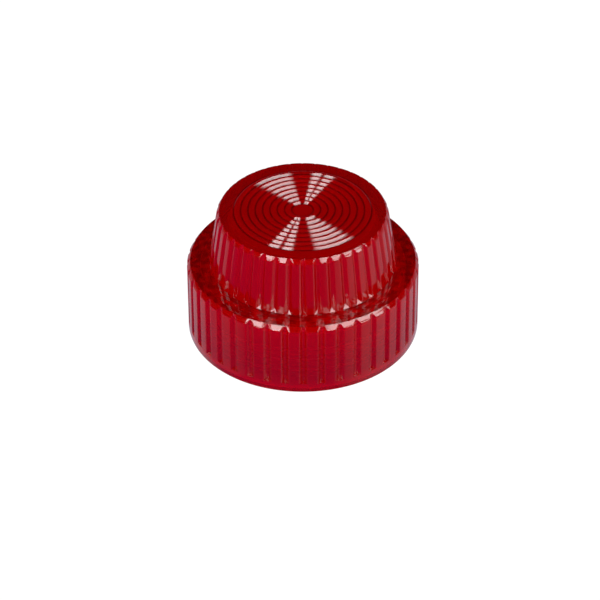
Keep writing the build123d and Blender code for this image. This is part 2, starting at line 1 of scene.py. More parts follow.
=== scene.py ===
"""Compact wall horn strobe: a ribbed clear red lens screwed down over a flush white base.

The sections follow the object as it is put together, from the wall outwards, and then come the
table, the light and the camera. Lengths in the sections are millimetres, and MM turns them to metres.
"""
import bmesh
import bpy
import numpy as np
from mathutils import Matrix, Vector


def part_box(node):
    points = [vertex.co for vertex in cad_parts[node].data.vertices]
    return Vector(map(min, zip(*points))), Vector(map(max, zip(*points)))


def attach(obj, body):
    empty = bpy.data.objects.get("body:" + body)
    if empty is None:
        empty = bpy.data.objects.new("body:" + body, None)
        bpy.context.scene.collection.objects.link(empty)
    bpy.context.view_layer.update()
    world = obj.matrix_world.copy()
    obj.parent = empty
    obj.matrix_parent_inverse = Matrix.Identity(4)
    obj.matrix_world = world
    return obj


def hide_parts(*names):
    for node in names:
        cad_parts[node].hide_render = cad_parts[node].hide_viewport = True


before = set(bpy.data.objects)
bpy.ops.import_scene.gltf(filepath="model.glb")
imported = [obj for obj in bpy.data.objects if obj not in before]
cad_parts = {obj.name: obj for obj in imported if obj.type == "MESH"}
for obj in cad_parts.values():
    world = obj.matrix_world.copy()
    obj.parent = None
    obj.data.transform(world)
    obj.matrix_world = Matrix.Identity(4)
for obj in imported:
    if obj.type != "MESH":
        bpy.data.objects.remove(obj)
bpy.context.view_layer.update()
MM = 0.001

# ---------------------------------------------------------------- base moulding
# The cup that everything sits in: PBT, injection moulded in white in a spark-eroded mould, which leaves
# it satin with a fine grain. Its collar carries the male thread that the lens screws on to.
collar_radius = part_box("base_body")[1].x / MM
thread_pitch = 2.0
thread_rise = 0.45           # crest above the collar
thread_foot = 2.6            # where the thread starts, above the wall
thread_turns = 2.6
thread_run_out = 0.25        # turns over which the ridge fades at each end
thread_root_sink = 0.1       # how far the ridge's root lies inside the collar
thread_root_half = 0.62      # half the ridge's height at the collar
thread_crest_half = 0.22


def linear(hex_colour):
    """sRGB hex to linear RGBA: c / 12.92 up to 0.04045, above it ((c + 0.055) / 1.055) ** 2.4."""
    c = np.array([int(hex_colour[i:i + 2], 16) for i in (0, 2, 4)]) / 255
    c = np.where(c <= 0.04045, c / 12.92, ((c + 0.055) / 1.055) ** 2.4)
    return (*c.tolist(), 1.0)


def new_material(name):
    """An empty node material."""
    material = bpy.data.materials.new(name)
    material.use_nodes = True
    material.node_tree.nodes.clear()
    return material


def add(material, kind, inputs=None, **settings):
    """Add one node. An input is a plain value, or a (node, output) pair that is linked to it."""
    tree = material.node_tree
    node = tree.nodes.new("ShaderNode" + kind)
    for name, value in settings.items():
        setattr(node, name, value)
    for name, value in (inputs or {}).items():
        if isinstance(value, tuple) and isinstance(value[0], bpy.types.Node):
            tree.links.new(value[0].outputs[value[1]], node.inputs[name])
        else:
            node.inputs[name].default_value = value
    return node


def moulded(name, low_hex, high_hex, rough, grain_mm, bump, ior=1.5, metallic=0.0):
    """A moulded or cast finish: two close colours in 2.5 mm clouds, and a bumpy grain grain_mm across."""
    material = new_material(name)
    place = add(material, "TexCoord")
    cloud = add(material, "TexNoise", {
        "Vector": (place, "Object"), "Scale": 1 / (2.5 * MM), "Detail": 3.0,
    })
    colour = add(material, "Mix", {
        0: (cloud, "Fac"), 6: linear(low_hex), 7: linear(high_hex),
    }, data_type="RGBA")
    grain = add(material, "TexNoise", {
        "Vector": (place, "Object"), "Scale": 1 / (grain_mm * MM), "Detail": 3.0,
    })
    relief = add(material, "Bump", {"Height": (grain, "Fac"), "Strength": bump, "Distance": 0.02 * MM})
    spread = add(material, "MapRange", {
        "Value": (grain, "Fac"), "To Min": 0.85 * rough, "To Max": 1.15 * rough,
    })
    shader = add(material, "BsdfPrincipled", {
        "Base Color": (colour, 2), "Roughness": (spread, "Result"), "Normal": (relief, "Normal"),
        "IOR": ior, "Metallic": metallic,
    })
    add(material, "OutputMaterial", {"Surface": (shader, 0)})
    return material


def dress(material, *names):
    """Give the material to every slot of the named frame nodes."""
    for name in names:
        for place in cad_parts[name].material_slots:
            place.material = material


def mesh_piece(name, points, faces, material, sharp_degrees=33):
    """A smooth-shaded object from points in millimetres and face lists, with doubles merged."""
    mesh = bpy.data.meshes.new(name)
    mesh.from_pydata((np.asarray(points) * MM).tolist(), [], faces)
    work = bmesh.new()
    work.from_mesh(mesh)
    bmesh.ops.remove_doubles(work, verts=work.verts, dist=0.001 * MM)
    bmesh.ops.dissolve_degenerate(work, edges=work.edges, dist=0.0005 * MM)
    work.to_mesh(mesh)
    work.free()
    mesh.shade_smooth()
    mesh.set_sharp_from_angle(angle=np.radians(sharp_degrees))
    mesh.materials.append(material)
    piece = bpy.data.objects.new(name, mesh)
    bpy.context.scene.collection.objects.link(piece)
    return piece


def grid_faces(rows, columns, start=0, wrap=True):
    """Quads between neighbouring rows of a grid of rows x columns points, closed across when wrap."""
    across = columns if wrap else columns - 1
    row, column = np.meshgrid(np.arange(rows - 1), np.arange(across), indexing="ij")
    after = (column + 1) % columns
    quads = np.stack([row * columns + column, row * columns + after,
                      (row + 1) * columns + after, (row + 1) * columns + column], axis=-1)
    return (quads.reshape(-1, 4) + start).tolist()


def helix_ridge(root_radius, crest_radius, foot, turns, steps_per_turn=96):
    """A trapezoid carried along a right-hand helix: z = foot + pitch * angle / (2 pi).

    The crest sinks towards the root over thread_run_out turns at each end, and both ends are closed.
    """
    steps = int(turns * steps_per_turn) + 1
    along = np.linspace(0, turns, steps)
    fade = np.clip(np.minimum(along, turns - along) / thread_run_out, 0.02, 1)
    crest = root_radius + (crest_radius - root_radius) * fade
    buried = root_radius - thread_root_sink
    radius = np.stack([np.full(steps, buried), np.full(steps, root_radius), crest, crest,
                       np.full(steps, root_radius), np.full(steps, buried)], axis=1)
    height = np.array([-thread_root_half, -thread_root_half, -thread_crest_half,
                       thread_crest_half, thread_root_half, thread_root_half])
    angle = 2 * np.pi * along[:, None] + np.zeros(6)
    z = foot + thread_pitch * along[:, None] + height
    points = np.stack([radius * np.cos(angle), radius * np.sin(angle), z], axis=-1).reshape(-1, 3)
    faces = grid_faces(steps, 6)
    faces += [[5, 4, 3, 2, 1, 0], list(range(6 * steps - 6, 6 * steps))]
    return points, faces


def face_outwards(piece):
    """Turn every face of a closed piece outwards."""
    work = bmesh.new()
    work.from_mesh(piece.data)
    bmesh.ops.recalc_face_normals(work, faces=work.faces)
    work.to_mesh(piece.data)
    work.free()


white_pbt = moulded("white_pbt_spark_textured", "E3E2DC", "EDECE7", 0.45, 0.12, 0.25, ior=1.54)
dress(white_pbt, "base_body", "sounder_housing")
thread_points, thread_faces = helix_ridge(
    collar_radius, collar_radius + thread_rise, thread_foot, thread_turns)
collar_thread = mesh_piece("collar_thread", thread_points, thread_faces, white_pbt)
face_outwards(collar_thread)
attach(collar_thread, "base")

# ---------------------------------------------------------------- wall gasket and sounder ring
# Closed-cell neoprene foam, die-cut from sheet: matt black, with cells of about a quarter millimetre.
# The gasket lies in the base's groove, and the ring holds the piezo disc down on its shelf.
foam = new_material("closed_cell_neoprene_foam")
cells = add(foam, "TexVoronoi", {
    "Vector": (add(foam, "TexCoord"), "Object"), "Scale": 1 / (0.25 * MM),
})
foam_colour = add(foam, "Mix", {
    0: (cells, "Distance"), 6: linear("1B1B1C"), 7: linear("2E2D2D"),
}, data_type="RGBA")
foam_relief = add(foam, "Bump", {"Height": (cells, "Distance"), "Strength": 0.6, "Distance": 0.05 * MM})
foam_shader = add(foam, "BsdfPrincipled", {
    "Base Color": (foam_colour, 2), "Roughness": 0.9, "Normal": (foam_relief, "Normal"), "IOR": 1.5,
})
add(foam, "OutputMaterial", {"Surface": (foam_shader, 0)})
dress(foam, "wall_gasket", "sounder_ring")


# ---------------------------------------------------------------- metal parts
# Turned brass inserts and cages, zinc-plated screws, tin-plated bars and gold-flashed pins. Turning and
# rolling leave fine lines that streak the highlights, drawn 0.08 mm apart so that they can be seen.
def machined(name, low_hex, high_hex, rough, stretch):
    """A worked metal: colour and roughness vary along noise drawn out into lines by stretch."""
    material = new_material(name)
    drawn_out = add(material, "Mapping", {
        "Vector": (add(material, "TexCoord"), "Object"), "Scale": stretch,
    })
    lines = add(material, "TexNoise", {
        "Vector": (drawn_out, "Vector"), "Scale": 1 / (0.08 * MM), "Detail": 3.0,
    })
    colour = add(material, "Mix", {
        0: (lines, "Fac"), 6: linear(low_hex), 7: linear(high_hex),
    }, data_type="RGBA")
    spread = add(material, "MapRange", {
        "Value": (lines, "Fac"), "To Min": 0.7 * rough, "To Max": 1.4 * rough,
    })
    relief = add(material, "Bump", {"Height": (lines, "Fac"), "Strength": 0.2, "Distance": 0.01 * MM})
    shader = add(material, "BsdfPrincipled", {
        "Base Color": (colour, 2), "Metallic": 1.0, "Roughness": (spread, "Result"),
        "Normal": (relief, "Normal"),
    })
    add(material, "OutputMaterial", {"Surface": (shader, 0)})
    return material


across_axis = (0.12, 0.12, 1)    # lines that run round or across the lens axis
along_strip = (0.1, 1, 1)        # lines that run along +X, as a rolled strip has
brass = machined("turned_brass", "B58F4A", "D6B36A", 0.3, across_axis)
zinc = machined("zinc_plated_steel", "A3A6A8", "C9CCCE", 0.32, across_axis)
tin = machined("tin_plated_strip", "B7B5AE", "D2D0C9", 0.35, along_strip)
gold = machined("gold_flashed_pin", "C9A24E", "E6C572", 0.25, across_axis)
dress(brass, "mounting_inserts", "clamp_cage_left", "clamp_cage_right", "sounder_plate")
dress(zinc, "clamp_screw_left", "clamp_screw_right", "housing_screws")
dress(tin, "terminal_bars")
dress(gold, "link_pins", "sounder_contacts")

# ---------------------------------------------------------------- driver board and its parts
# Glass-epoxy board under green solder mask, with a weave that just shows through the mask.
# Moulded epoxy chips, a ferrite-cored inductor and a drawn aluminium capacitor can stand under it.
board = new_material("green_solder_mask")
weave = add(board, "TexBrick", {
    "Vector": (add(board, "TexCoord"), "Object"), "Scale": 1 / (1.0 * MM),
    "Color1": linear("0C5A32"), "Color2": linear("0F6437"), "Mortar": linear("0A4C2B"),
    "Mortar Size": 0.04, "Brick Width": 0.6, "Row Height": 0.6,
}, offset=0.5)
board_shader = add(board, "BsdfPrincipled", {
    "Base Color": (weave, "Color"), "Roughness": 0.28, "IOR": 1.55, "Coat Weight": 0.4,
})
add(board, "OutputMaterial", {"Surface": (board_shader, 0)})
dress(board, "main_board")
# Epoxy is near black and satin, ferrite a rough dark grey, and the drawn can bright with faint lines.
epoxy = moulded("black_moulded_epoxy", "141415", "1E1E20", 0.5, 0.06, 0.3)
ferrite = moulded("sintered_ferrite", "2B2B2D", "3A3A3D", 0.6, 0.05, 0.4)
can = machined("drawn_aluminium_can", "C3C4C6", "DDDEDF", 0.25, across_axis)
dress(epoxy, "driver_chip", "blocking_diode", "chip_resistors", "selector_body")
dress(ferrite, "boost_inductor")
dress(can, "storage_capacitor")

# ---------------------------------------------------------------- wire terminals and tone selector
# Moulded terminal housing in glass-filled green polyamide, soldered under the driver board by its
# contact bars. The selector's slider is white PBT, as the base is, in a black moulded body.
# Glass fibre at the surface makes the polyamide matt and a little uneven in colour.
polyamide = moulded("green_glass_filled_polyamide", "1D6B46", "267B52", 0.5, 0.1, 0.35, ior=1.53)
dress(polyamide, "terminal_housing")
dress(white_pbt, "selector_slider")

# ---------------------------------------------------------------- sounder disc
# Lead zirconate ceramic, pressed, sintered and lapped, with a fired silver electrode. It is glued to
# the brass plate that lies on the sounder housing's shelf.
# Fired silver is a warm satin grey, duller than polished metal.
silvered = moulded("fired_silver_electrode", "B9B7AF", "CBC9C2", 0.42, 0.08, 0.3, metallic=0.7)
dress(silvered, "sounder_ceramic")

# ---------------------------------------------------------------- strobe board, LEDs and reflector
# White solder mask, LED packages filled with yellow phosphor under soft clear domes, and a
# high-white moulded dish with a polished face that sends the flash forwards.
# The mask is smooth and bright white, the phosphor matt yellow, the dish near mirror-smooth but white.
white_mask = moulded("white_solder_mask", "E8E7E2", "F0EFEB", 0.3, 0.4, 0.1, ior=1.55)
phosphor = moulded("phosphor_filled_led", "E8D874", "F0E390", 0.5, 0.06, 0.3)
high_white = moulded("high_white_reflector", "EFEEEA", "F5F4F1", 0.22, 0.3, 0.08, ior=1.58)
dress(white_mask, "led_board")
dress(phosphor, "strobe_leds")
dress(high_white, "reflector")


# ---------------------------------------------------------------- clear optic and LED domes
# A polished, moulded acrylic dome that stands on the strobe board by its foot, and soft silicone cast
# on each LED: both nearly colourless.
def clear(name, hex_colour, rough, ior):
    """A clear plastic: refracts light, and lets shadow rays through lightly tinted."""
    material = new_material(name)
    grain = add(material, "TexNoise", {
        "Vector": (add(material, "TexCoord"), "Object"), "Scale": 1 / (0.6 * MM), "Detail": 3.0,
    })
    spread = add(material, "MapRange", {
        "Value": (grain, "Fac"), "To Min": 0.5 * rough, "To Max": 1.5 * rough,
    })
    body = add(material, "BsdfPrincipled", {
        "Base Color": linear(hex_colour), "Roughness": (spread, "Result"), "IOR": ior,
        "Transmission Weight": 1.0,
    })
    shade = add(material, "BsdfTransparent", {"Color": linear(hex_colour)})
    path = add(material, "LightPath")
    mixed = add(material, "MixShader", {0: (path, "Is Shadow Ray"), 1: (body, 0), 2: (shade, 0)})
    add(material, "OutputMaterial", {"Surface": (mixed, 0)})
    return material


dress(clear("polished_acrylic", "F6F8F7", 0.03, 1.49), "strobe_optic")
dress(clear("clear_silicone", "F2F1EC", 0.12, 1.41), "led_domes")

# ---------------------------------------------------------------- lens seal
# Moulded silicone, pale grey and slightly waxy. A rib holds it under the lens shoulder, and the lens
# presses it on the collar.
silicone = moulded("pale_grey_silicone", "B9B8B3", "C6C5C0", 0.38, 0.15, 0.15, ior=1.42)
dress(silicone, "lens_seal")

# ---------------------------------------------------------------- lens
# One moulding of clear red polycarbonate. Forty V-shaped grooves run down the skirt and the cone,
# eight domed rings spread the flash at the top, and every outer edge has the mould's small radius.
lens_low, lens_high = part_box("lens_cap")
lens_radius = round(lens_high.x / MM, 2)
rim_z = lens_low.z / MM
ring_rise = 0.23             # ring crests above the flat border of the top
top_z = lens_high.z / MM - ring_rise
skirt_draft = 0.03           # how much the skirt narrows towards its top
skirt_chamfer_in = 0.52
skirt_chamfer_down = 0.76
shoulder_width = 3.48        # from the skirt's radius to the cone's foot
cone_height = 9.12
cone_draft = 1.29            # how much the cone narrows towards its chamfer
cone_chamfer_in = 0.42
cone_chamfer_down = 0.74
rim_round = 0.22
rim_band = 1.55              # plain band under the skirt's grooves
edge_round = 0.09            # mould radius, as a cut back from each corner
ring_count = 8
ring_pitch = 1.12
ring_start = 1.64            # radius of the innermost valley
shoulder_z = top_z - cone_height
skirt_top_radius = lens_radius - skirt_draft
cone_foot_radius = lens_radius - shoulder_width
cone_head_radius = cone_foot_radius - cone_draft
cone_lean = cone_draft / (cone_height - cone_chamfer_down)

rib_count = 40
skirt_groove = {"half_width": 0.62, "half_floor": 0.16, "depth": 0.5}
cone_groove = {"half_width": 0.55, "half_floor": 0.09, "depth": 0.42}
groove_columns = 20          # grid columns across one rib
ring_columns = 200           # grid columns round the rings and the inside

side_wall = 2.1
shoulder_wall = 2.04
top_wall = 1.9
lens_bore_radius = lens_radius - side_wall
shoulder_under_z = shoulder_z - shoulder_wall
chamber_top_z = top_z - top_wall
chamber_foot_radius = cone_foot_radius - side_wall
chamber_head_radius = cone_head_radius - side_wall
seal_rib_inner, seal_rib_outer, seal_rib_height = 12.95, 13.45, 0.8


def soften(corners, cut):
    """Turn each inner corner P into P - cut, (before + 2 P + after) / 4 and P + cut along its sides."""
    p = np.asarray(corners, float)
    step = np.diff(p, axis=0)
    length = np.linalg.norm(step, axis=1, keepdims=True)
    side = step / length
    reach = np.minimum(cut, 0.4 * np.minimum(length[:-1], length[1:]))
    before = p[1:-1] - side[:-1] * reach
    after = p[1:-1] + side[1:] * reach
    middle = (before + 2 * p[1:-1] + after) / 4
    inner = np.stack([before, middle, after], axis=1).reshape(-1, 2)
    return np.vstack([p[:1], inner, p[-1:]])


def ribbed_rows(profile, full_floor, floor, groove, grooved):
    """Rows of grid points round the lens, with a groove centred on every rib angle.

    At profile radius R the groove's wall is at half width w = a + (R - F) * t, where F is the floor
    radius, a the floor's half width there and t the walls' spread. Points across half a rib lie on
    the floor, the wall and the land, with both corners cut by edge_round; a point's angle is its
    offset over its radius. Where grooved is 0 the points stay on the land.
    """
    radius, height = profile[:, :1], profile[:, 1:]
    full_floor, floor, grooved = (np.reshape(v, (-1, 1)) for v in (full_floor, floor, grooved))
    spread = (groove["half_width"] - groove["half_floor"]) / groove["depth"]
    floor = np.minimum(floor, radius)
    foot = groove["half_floor"] + np.maximum(floor - full_floor, 0) * spread
    edge = foot + (radius - floor) * spread
    wall_cut = np.minimum(edge_round, 0.3 * (edge - foot))
    floor_cut = np.minimum(0.6 * edge_round, 0.4 * foot)
    rib_half = radius * np.pi / rib_count
    land_cut = np.minimum(edge_round, 0.2 * (rib_half - edge))
    offset = np.concatenate([
        0 * foot, foot - floor_cut, foot + (wall_cut - floor_cut) / 4, foot + wall_cut,
        (foot + edge) / 2, edge - wall_cut, edge + (land_cut - wall_cut) / 4, edge + land_cut,
        edge + (rib_half - edge) / 3, edge + (rib_half - edge) * 2 / 3, rib_half], axis=1)
    wall_rise = wall_cut / spread
    depth_radius = np.concatenate([
        floor, floor, floor + wall_rise / 4, floor + wall_rise, (floor + radius) / 2,
        radius - wall_rise, radius - wall_rise / 4, radius, radius, radius, radius], axis=1)
    depth_radius = radius + (depth_radius - radius) * grooved
    angle = offset / depth_radius
    angle = np.concatenate([-angle[:, 9:0:-1], angle], axis=1)
    across = np.concatenate([depth_radius[:, 9:0:-1], depth_radius], axis=1)
    centre = -np.pi / 2 + 2 * np.pi * np.arange(rib_count) / rib_count
    turn = (centre[:, None, None] + angle).transpose(1, 0, 2).reshape(len(profile), -1)
    across = np.tile(across, (1, rib_count))
    rise = np.repeat(height, across.shape[1], axis=1)
    return np.stack([across * np.cos(turn), across * np.sin(turn), rise], axis=-1)


per_rib = ring_columns // rib_count
ring_angle = -np.pi / 2 + 2 * np.pi / ring_columns * (np.arange(ring_columns) - (per_rib - 1) / 2)


def round_rows(radius, height):
    """Rows of points at ring_angle round the axis, where radius may differ from column to column."""
    radius = np.broadcast_to(radius, (len(height), ring_columns))
    rise = np.broadcast_to(np.reshape(height, (-1, 1)), radius.shape)
    return np.stack([radius * np.cos(ring_angle), radius * np.sin(ring_angle), rise], axis=-1)


# Outside, from the rim up to the flat border of the top.
rim_corner = soften([
    (lens_radius - 1, rim_z), (lens_radius, rim_z), (lens_radius, rim_z + 1),
], rim_round)[1:4]
skirt_line = skirt_draft / (shoulder_z - rim_z)
band_top = (lens_radius - skirt_line * rim_band, rim_z + rim_band)
skirt_profile = soften([
    band_top,
    (skirt_top_radius, shoulder_z - skirt_chamfer_down),
    (skirt_top_radius - skirt_chamfer_in, shoulder_z),
    (cone_foot_radius + 0.3, shoulder_z),
], edge_round)
plain_profile = np.vstack([rim_corner, [band_top]])
facet_end = cone_groove["depth"] / (1 - cone_lean)
facet_steps = np.linspace(0, facet_end, 4)
facet_profile = np.stack([cone_foot_radius - cone_lean * facet_steps, shoulder_z + facet_steps], axis=1)
cone_profile = np.vstack([facet_profile, soften([
    facet_profile[-1],
    (cone_head_radius, top_z - cone_chamfer_down),
    (cone_head_radius - cone_chamfer_in, top_z),
    (cone_head_radius - cone_chamfer_in - 0.4, top_z),
], edge_round)[1:]])
skirt_floor = lens_radius - skirt_groove["depth"]
cone_floor = cone_foot_radius - cone_groove["depth"] - cone_lean * (cone_profile[:, 1] - shoulder_z)
facet_floor = cone_foot_radius - (cone_profile[:, 1] - shoulder_z)
outside = np.concatenate([
    ribbed_rows(plain_profile, skirt_floor, skirt_floor, skirt_groove, 0),
    ribbed_rows(skirt_profile, skirt_floor, skirt_floor, skirt_groove, 1),
    ribbed_rows(cone_profile, cone_floor, np.maximum(cone_floor, facet_floor), cone_groove, 1),
])

# The eight rings: circular arcs between valleys. An arc of chord c and rise h has the radius
# (c^2 / 4 + h^2) / (2 h), and stands sqrt(radius^2 - x^2) above its centre at x from the crest.
ring_steps = 8
ring_share = np.arange(ring_count * ring_steps + 1) / ring_steps
ring_radius = ring_start + ring_count * ring_pitch - ring_pitch * ring_share
arc_radius = (ring_pitch ** 2 / 4 + ring_rise ** 2) / (2 * ring_rise)
from_crest = ring_pitch * (ring_share % 1 - 0.5)
ring_height = top_z + ring_rise - arc_radius + np.sqrt(arc_radius ** 2 - from_crest ** 2)
rings = round_rows(ring_radius[:, None], ring_height)

# Inside, from the middle of the chamber's ceiling down to the rim, with the female thread on the bore.
inner_corners = soften([
    (1.0, chamber_top_z), (chamber_head_radius, chamber_top_z), (chamber_foot_radius, shoulder_under_z),
    (seal_rib_inner, shoulder_under_z), (seal_rib_inner, shoulder_under_z - seal_rib_height),
    (seal_rib_outer, shoulder_under_z - seal_rib_height), (seal_rib_outer, shoulder_under_z),
    (lens_bore_radius, shoulder_under_z), (lens_bore_radius, shoulder_under_z - 1.5),
], edge_round)
chamber = round_rows(inner_corners[:, :1], inner_corners[:, 1])
bore_height = np.linspace(shoulder_under_z - 1.6, rim_z + 0.5, 48)
phase = (bore_height[:, None] - thread_foot) / thread_pitch - ring_angle / (2 * np.pi)
from_ridge = np.abs((phase % 1) - 0.5) * thread_pitch
ridge = np.clip((thread_root_half - from_ridge) / (thread_root_half - thread_crest_half), 0, 1)
bore_thread_low, bore_thread_high = 2.0, 8.2
bore_thread_fade = 0.8
inside_thread = np.minimum(bore_height - bore_thread_low, bore_thread_high - bore_height)
fade = np.clip(inside_thread / bore_thread_fade, 0, 1)[:, None]
bore = round_rows(lens_bore_radius - thread_rise * ridge * fade, bore_height)
rim_inner = soften([(lens_bore_radius, rim_z + 0.5), (lens_bore_radius, rim_z),
                    (lens_bore_radius + 0.5, rim_z)], edge_round)[1:]
rim_inside = round_rows(rim_inner[:, :1], rim_inner[:, 1])

# Each block of rows is meshed by itself. Then the fine edges of the outside are joined to the coarser
# edges of the rings and of the inside, and a fan closes each of the two middles.
fine = rib_count * groove_columns
outside_count = len(outside) * fine
inside = np.concatenate([chamber, bore, rim_inside])
points = np.vstack([outside.reshape(-1, 3), rings.reshape(-1, 3), inside.reshape(-1, 3),
                    [(0, 0, top_z), (0, 0, chamber_top_z)]])
rings_start = outside_count
inside_start = rings_start + len(rings) * ring_columns
faces = grid_faces(len(outside), fine)
faces += grid_faces(len(rings), ring_columns, rings_start)
faces += grid_faces(len(inside), ring_columns, inside_start)
column = np.arange(ring_columns)
after = (column + 1) % ring_columns
share = fine // ring_columns
steps = (column[:, None] * share + np.arange(share + 1)) % fine
top_edge = outside_count - fine
faces += np.column_stack([steps + top_edge, rings_start + after, rings_start + column]).tolist()
rim_edge = inside_start + (len(inside) - 1) * ring_columns
faces += np.column_stack([steps[:, ::-1], rim_edge + column, rim_edge + after]).tolist()
ring_end = rings_start + (len(rings) - 1) * ring_columns
middle = np.full(ring_columns, len(points) - 2)
faces += np.column_stack([ring_end + column, ring_end + after, middle]).tolist()
faces += np.column_stack([inside_start + after, inside_start + column, middle + 1]).tolist()


# The red's base colour stands for how much of the light each place gathers, so it carries painted light
# and shade: a painted dark shade in the sharp ring valleys, a painted uneven pattern of light and shade
# on the shoulder that stands in for what lies under it, and a painted shade that darkens the skirt
# towards the rim.
def painted_valley_shade_mask(material, place, height):
    """1 in the valleys between the rings of the top face, 0 on their crests and elsewhere: where the
    painted valley shade goes.

    The distance from the nearest valley is the radius less ring_start, folded at half a pitch.
    """
    plan = add(material, "Mapping", {"Vector": (place, "Object"), "Scale": (1, 1, 0)})
    radius = add(material, "VectorMath", {0: (plan, "Vector")}, operation="LENGTH")
    from_first = add(material, "Math", {0: (radius, "Value"), 1: ring_start * MM}, operation="SUBTRACT")
    from_valley = add(material, "Math", {
        0: (from_first, 0), 1: ring_pitch / 2 * MM,
    }, operation="PINGPONG")
    valley = add(material, "MapRange", {
        "Value": (from_valley, 0), "From Min": 0.03 * MM, "From Max": 0.2 * MM,
        "To Min": 1.0, "To Max": 0.0,
    })
    half_band = ring_count * ring_pitch / 2 * MM
    on_rings = add(material, "Math", {
        0: (from_first, 0), 1: half_band, 2: half_band + 0.2 * ring_pitch * MM,
    }, operation="COMPARE")
    on_top = add(material, "Math", {0: (height, "Z"), 1: (top_z - 0.02) * MM}, operation="GREATER_THAN")
    ringed = add(material, "Math", {0: (on_rings, 0), 1: (on_top, 0)}, operation="MULTIPLY")
    return add(material, "Math", {0: (ringed, 0), 1: (valley, 0)}, operation="MULTIPLY")


def lens_colour_and_painted_shade(material, place, height, body_hex):
    """The scattered colour with painted shade, deeper from 11 mm down to the rim and in the ring valleys,
    and painted light and shade in blotches on the shoulder.
    """
    # Painted shade: the skirt's red darkens from 11 mm down to the rim.
    near_rim = add(material, "MapRange", {
        "Value": (height, "Z"), "From Min": 0.8 * MM, "From Max": 11.0 * MM, "To Min": 1.0, "To Max": 0.0,
    })
    upright_colour_and_rim_shade = add(material, "Mix", {
        0: (near_rim, 0), 6: linear(body_hex), 7: linear("BC0A17"),
    }, data_type="RGBA")
    # Painted light and shade: lighter and darker blotches on the shoulder stand in for what is seen
    # through it.
    shoulder_shade_noise = add(material, "TexNoise", {
        "Vector": (place, "Object"), "Scale": 1 / (1.1 * MM), "Detail": 3.0,
    })
    shoulder_shade_level = add(material, "MapRange", {
        "Value": (shoulder_shade_noise, "Fac"), "From Min": 0.38, "From Max": 0.64, "To Min": 0.0, "To Max": 1.0,
    }, interpolation_type="SMOOTHSTEP")
    painted_shoulder_light_and_shade = add(material, "Mix", {
        0: (shoulder_shade_level, 0), 6: linear("AF0003"), 7: linear("EC0005"),
    }, data_type="RGBA")
    on_shoulder = add(material, "Math", {
        0: (height, "Z"), 1: shoulder_z * MM, 2: 0.05 * MM,
    }, operation="COMPARE")
    plain = add(material, "Mix", {
        0: (on_shoulder, 0), 6: (upright_colour_and_rim_shade, 2), 7: (painted_shoulder_light_and_shade, 2),
    }, data_type="RGBA")
    # Painted shade: a dark red laid in the ring valleys, where the steep slopes gather little light.
    return add(material, "Mix", {
        0: (painted_valley_shade_mask(material, place, height), 0), 6: (plain, 2), 7: linear("780003"),
    }, data_type="RGBA")


def red_polycarbonate(name, haze_low, haze_high, clearness, body_hex, mark_strength):
    """Dyed polycarbonate: clearness is the share of light that goes straight through it.

    The rest is scattered back by the dye. Turned tool marks run round the skirt's upright faces, and
    the dye in the wall takes out green and blue along the path.
    """
    material = new_material(name)
    place = add(material, "TexCoord")
    height = add(material, "SeparateXYZ", {0: (place, "Object")})
    height_only = add(material, "Mapping", {"Vector": (place, "Object"), "Scale": (0.02, 0.02, 1)})
    tool_marks = add(material, "TexNoise", {
        "Vector": (height_only, "Vector"), "Scale": 1 / (0.3 * MM), "Detail": 1.0,
    })
    upright = add(material, "SeparateXYZ", {0: (add(material, "NewGeometry"), "Normal")})
    flatness = add(material, "Math", {0: (upright, "Z")}, operation="ABSOLUTE")
    on_sides = add(material, "MapRange", {
        "Value": (flatness, 0), "From Min": 0.15, "From Max": 0.4, "To Min": 1.0, "To Max": 0.0,
    })
    on_skirt = add(material, "Math", {0: (height, "Z"), 1: shoulder_z * MM}, operation="LESS_THAN")
    marked = add(material, "Math", {0: (on_sides, "Result"), 1: (on_skirt, 0)}, operation="MULTIPLY")
    marks = add(material, "Math", {0: (tool_marks, "Fac"), 1: (marked, 0)}, operation="MULTIPLY")
    relief = add(material, "Bump", {
        "Height": (marks, 0), "Strength": mark_strength, "Distance": 0.01 * MM,
    })
    polish = add(material, "TexNoise", {
        "Vector": (place, "Object"), "Scale": 1 / (1.6 * MM), "Detail": 2.0,
    })
    haze = add(material, "MapRange", {"Value": (polish, "Fac"), "To Min": haze_low, "To Max": haze_high})
    body = add(material, "BsdfPrincipled", {
        "Base Color": (lens_colour_and_painted_shade(material, place, height, body_hex), 2), "Roughness": (haze, "Result"),
        "IOR": 1.585, "Transmission Weight": clearness, "Normal": (relief, "Normal"),
    })
    shade = add(material, "BsdfTransparent", {"Color": linear("F4E6E6")})
    ray = add(material, "LightPath")
    mixed = add(material, "MixShader", {0: (ray, "Is Shadow Ray"), 1: (body, 0), 2: (shade, 0)})
    dye = add(material, "VolumeAbsorption", {"Color": linear("EA2789"), "Density": 900.0})
    add(material, "OutputMaterial", {"Surface": (mixed, 0), "Volume": (dye, 0)})
    return material


# The outer faces are polished; the faces inside the bore and the chamber have the mould's fine texture.
polished_red = red_polycarbonate("polished_red_polycarbonate", 0.03, 0.08, 0.7, "E00004", 0.5)
textured_red = red_polycarbonate("textured_red_polycarbonate", 0.4, 0.55, 0.9, "D80A20", 0.0)
ribbed_lens = mesh_piece("ribbed_lens", points, faces, polished_red)
ribbed_lens.data.materials.append(textured_red)
middles = np.empty(3 * len(ribbed_lens.data.polygons))
ribbed_lens.data.polygons.foreach_get("center", middles)
middles = middles.reshape(-1, 3) / MM
in_wall = 0.1                # a face centre this far into the wall belongs to the outside
inner_radius = np.where(middles[:, 2] > shoulder_under_z, chamber_foot_radius, lens_bore_radius)
outer_shell = np.hypot(middles[:, 0], middles[:, 1]) > inner_radius + in_wall
is_inside = ~(outer_shell | (middles[:, 2] > chamber_top_z + in_wall))
ribbed_lens.data.polygons.foreach_set("material_index", is_inside.astype(np.int32))
weighted = ribbed_lens.modifiers.new("flat_lands", "WEIGHTED_NORMAL")
weighted.keep_sharp = True
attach(ribbed_lens, "lens")
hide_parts("lens_cap")

